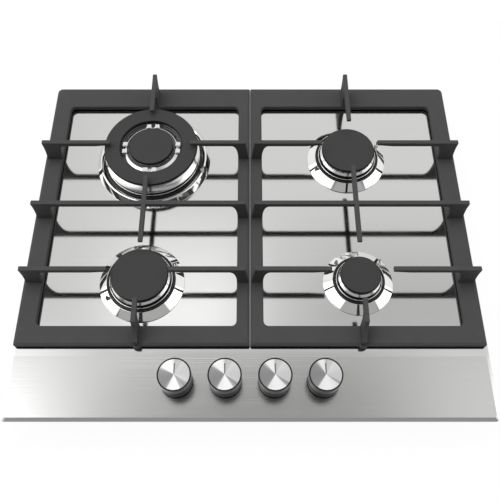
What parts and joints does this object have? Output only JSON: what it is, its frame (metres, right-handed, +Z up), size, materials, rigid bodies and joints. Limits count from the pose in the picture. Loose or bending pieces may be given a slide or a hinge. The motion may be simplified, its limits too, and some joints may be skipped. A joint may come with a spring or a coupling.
{
  "type": "gas cooktop",
  "caption": "Built-in gas cooktop with a steel top plate, lift-off cast pan supports, a large double-crown burner and smaller burners, and front push-and-turn knobs.",
  "frame": {"origin": "centre of the body in plan, at the height of the under-tray's floor, which is the lowest level", "axes": "+X to the right, +Y to the back, +Z up; the knobs are at the front, towards -Y"},
  "size_m": [0.6, 0.51, 0.0998],
  "materials": {
    "plate_steel": "fine brushed, along X",
    "seal_foam": "closed-cell foam strip",
    "galvanised_sheet": "galvanised",
    "cast_iron": "matt black enamel, fine cast grain",
    "cup_black": "semi-matt black",
    "bezel_chrome": "polished",
    "head_metal": "machined and plated",
    "cap_enamel": "matt black enamel",
    "ceramic": "glazed ceramic",
    "brass": "machined",
    "knob_metal": "turned face, dark polished side",
    "tube_aluminium": "drawn",
    "black_plastic": "moulded"
  },
  "bodies": {
    "root": {"top_plate": "plate_steel", "rim_seal": "seal_foam", "bottom_tray": "galvanised_sheet", "worktop_clamp_1": "galvanised_sheet", "worktop_clamp_2": "galvanised_sheet", "worktop_clamp_3": "galvanised_sheet", "worktop_clamp_4": "galvanised_sheet", "burner_cup_rear_left": "cup_black", "burner_bezel_rear_left": "bezel_chrome", "spark_electrode_rear_left": "ceramic", "flame_sensor_rear_left": "brass", "burner_cup_front_left": "cup_black", "burner_bezel_front_left": "bezel_chrome", "spark_electrode_front_left": "ceramic", "flame_sensor_front_left": "brass", "burner_cup_rear_right": "cup_black", "burner_bezel_rear_right": "bezel_chrome", "spark_electrode_rear_right": "ceramic", "flame_sensor_rear_right": "brass", "burner_cup_front_right": "cup_black", "burner_bezel_front_right": "bezel_chrome", "spark_electrode_front_right": "ceramic", "flame_sensor_front_right": "brass", "gas_valve_1": "brass", "feed_tube_1": "tube_aluminium", "gas_valve_2": "brass", "feed_tube_2": "tube_aluminium", "gas_valve_3": "brass", "feed_tube_3": "tube_aluminium", "gas_valve_4": "brass", "feed_tube_4": "tube_aluminium", "gas_manifold": "galvanised_sheet", "gas_inlet": "brass", "ignition_module": "black_plastic", "cable_gland": "black_plastic"},
    "grate_left": {"grate_left": "cast_iron"},
    "grate_right": {"grate_right": "cast_iron"},
    "head_rear_left": {"burner_head_rear_left": "head_metal"},
    "head_front_left": {"burner_head_front_left": "head_metal"},
    "head_rear_right": {"burner_head_rear_right": "head_metal"},
    "head_front_right": {"burner_head_front_right": "head_metal"},
    "ring_cap_rear_left": {"burner_ring_cap_rear_left": "cap_enamel"},
    "inner_cap_rear_left": {"burner_inner_cap_rear_left": "cap_enamel"},
    "cap_front_left": {"burner_cap_front_left": "cap_enamel"},
    "cap_rear_right": {"burner_cap_rear_right": "cap_enamel"},
    "cap_front_right": {"burner_cap_front_right": "cap_enamel"},
    "push_1": {"switch_collar_1": "black_plastic"},
    "turn_1": {"knob_1": "knob_metal", "knob_stem_1": "galvanised_sheet"},
    "push_2": {"switch_collar_2": "black_plastic"},
    "turn_2": {"knob_2": "knob_metal", "knob_stem_2": "galvanised_sheet"},
    "push_3": {"switch_collar_3": "black_plastic"},
    "turn_3": {"knob_3": "knob_metal", "knob_stem_3": "galvanised_sheet"},
    "push_4": {"switch_collar_4": "black_plastic"},
    "turn_4": {"knob_4": "knob_metal", "knob_stem_4": "galvanised_sheet"}
  },
  "joints": [
    {"name": "grate_left_lift", "type": "slide", "parent": "root", "child": "grate_left", "axis": [0, 0, 1], "range_m": [0, 0.12]},
    {"name": "grate_right_lift", "type": "slide", "parent": "root", "child": "grate_right", "axis": [0, 0, 1], "range_m": [0, 0.12]},
    {"name": "head_rear_left_lift", "type": "slide", "parent": "root", "child": "head_rear_left", "axis": [0, 0, 1], "range_m": [0, 0.036]},
    {"name": "head_front_left_lift", "type": "slide", "parent": "root", "child": "head_front_left", "axis": [0, 0, 1], "range_m": [0, 0.06]},
    {"name": "head_rear_right_lift", "type": "slide", "parent": "root", "child": "head_rear_right", "axis": [0, 0, 1], "range_m": [0, 0.06]},
    {"name": "head_front_right_lift", "type": "slide", "parent": "root", "child": "head_front_right", "axis": [0, 0, 1], "range_m": [0, 0.06]},
    {"name": "ring_cap_rear_left_lift", "type": "slide", "parent": "head_rear_left", "child": "ring_cap_rear_left", "axis": [0, 0, 1], "range_m": [0, 0.036]},
    {"name": "inner_cap_rear_left_lift", "type": "slide", "parent": "head_rear_left", "child": "inner_cap_rear_left", "axis": [0, 0, 1], "range_m": [0, 0.06]},
    {"name": "cap_front_left_lift", "type": "slide", "parent": "head_front_left", "child": "cap_front_left", "axis": [0, 0, 1], "range_m": [0, 0.06]},
    {"name": "cap_rear_right_lift", "type": "slide", "parent": "head_rear_right", "child": "cap_rear_right", "axis": [0, 0, 1], "range_m": [0, 0.06]},
    {"name": "cap_front_right_lift", "type": "slide", "parent": "head_front_right", "child": "cap_front_right", "axis": [0, 0, 1], "range_m": [0, 0.06]},
    {"name": "knob_1_push", "type": "slide", "parent": "root", "child": "push_1", "axis": [0, 0, -1], "range_m": [0, 0.003], "stiffness_N_per_m": 2500, "springref_m": -0.004},
    {"name": "knob_1_turn", "type": "hinge", "parent": "push_1", "child": "turn_1", "pos_m": [-0.09, -0.207, 0.0862], "axis": [0, 0, 1], "range_deg": [0, 210]},
    {"name": "knob_2_push", "type": "slide", "parent": "root", "child": "push_2", "axis": [0, 0, -1], "range_m": [0, 0.003], "stiffness_N_per_m": 2500, "springref_m": -0.004},
    {"name": "knob_2_turn", "type": "hinge", "parent": "push_2", "child": "turn_2", "pos_m": [-0.03, -0.207, 0.0862], "axis": [0, 0, 1], "range_deg": [0, 210]},
    {"name": "knob_3_push", "type": "slide", "parent": "root", "child": "push_3", "axis": [0, 0, -1], "range_m": [0, 0.003], "stiffness_N_per_m": 2500, "springref_m": -0.004},
    {"name": "knob_3_turn", "type": "hinge", "parent": "push_3", "child": "turn_3", "pos_m": [0.03, -0.207, 0.0862], "axis": [0, 0, 1], "range_deg": [0, 210]},
    {"name": "knob_4_push", "type": "slide", "parent": "root", "child": "push_4", "axis": [0, 0, -1], "range_m": [0, 0.003], "stiffness_N_per_m": 2500, "springref_m": -0.004},
    {"name": "knob_4_turn", "type": "hinge", "parent": "push_4", "child": "turn_4", "pos_m": [0.09, -0.207, 0.0862], "axis": [0, 0, 1], "range_deg": [0, 210]}
  ],
  "couplings": [
    {"joint": "head_rear_left_lift", "follows": "grate_left_lift", "ratio": 0.3},
    {"joint": "head_front_left_lift", "follows": "grate_left_lift", "ratio": 0.5},
    {"joint": "head_rear_right_lift", "follows": "grate_right_lift", "ratio": 0.5},
    {"joint": "head_front_right_lift", "follows": "grate_right_lift", "ratio": 0.5},
    {"joint": "ring_cap_rear_left_lift", "follows": "grate_left_lift", "ratio": 0.3}
  ]
}
